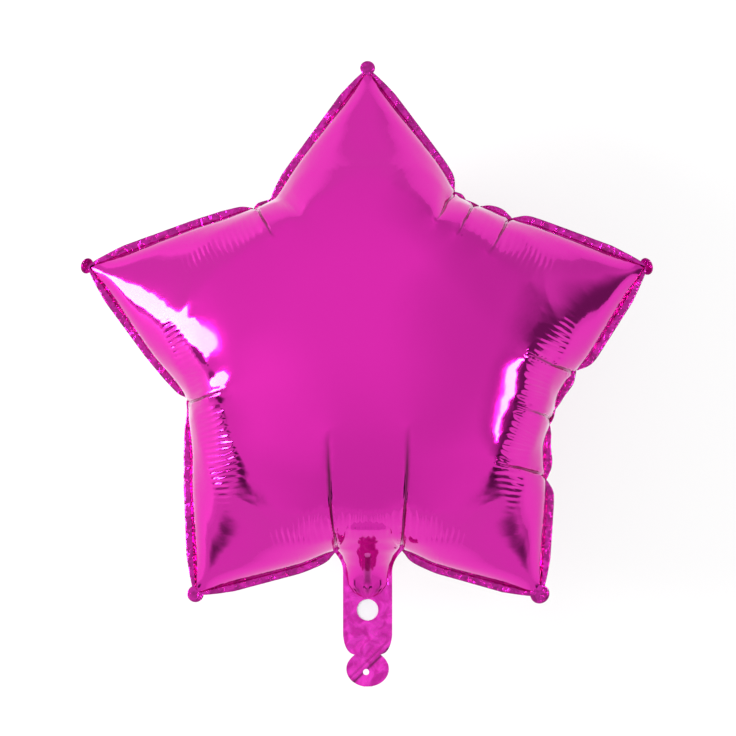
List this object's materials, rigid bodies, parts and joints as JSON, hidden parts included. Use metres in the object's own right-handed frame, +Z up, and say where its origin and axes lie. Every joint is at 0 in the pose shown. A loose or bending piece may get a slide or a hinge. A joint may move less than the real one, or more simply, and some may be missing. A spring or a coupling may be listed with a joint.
{
  "type": "star foil balloon",
  "caption": "Inflated star of metallised film with a heat-sealed rim, round tip lobes, a flat filling neck and a round hanging tab.",
  "frame": {"origin": "middle of the flat spot on the back sheet's crown, where the balloon lies on the ground", "axes": "+Z up, out of the front sheet's crown; +Y up the top arm, so the neck runs out along -Y; +X towards the right arm as seen from the front"},
  "size_m": [0.4172, 0.4578, 0.1876],
  "materials": {
    "foil": "mirror-bright metallised film, dyed magenta, with a crimped sealed rim",
    "clear_film": "clear, slightly hazy film"
  },
  "bodies": {
    "root": {"foil_envelope": "foil", "valve_film": "clear_film"}
  },
  "joints": []
}
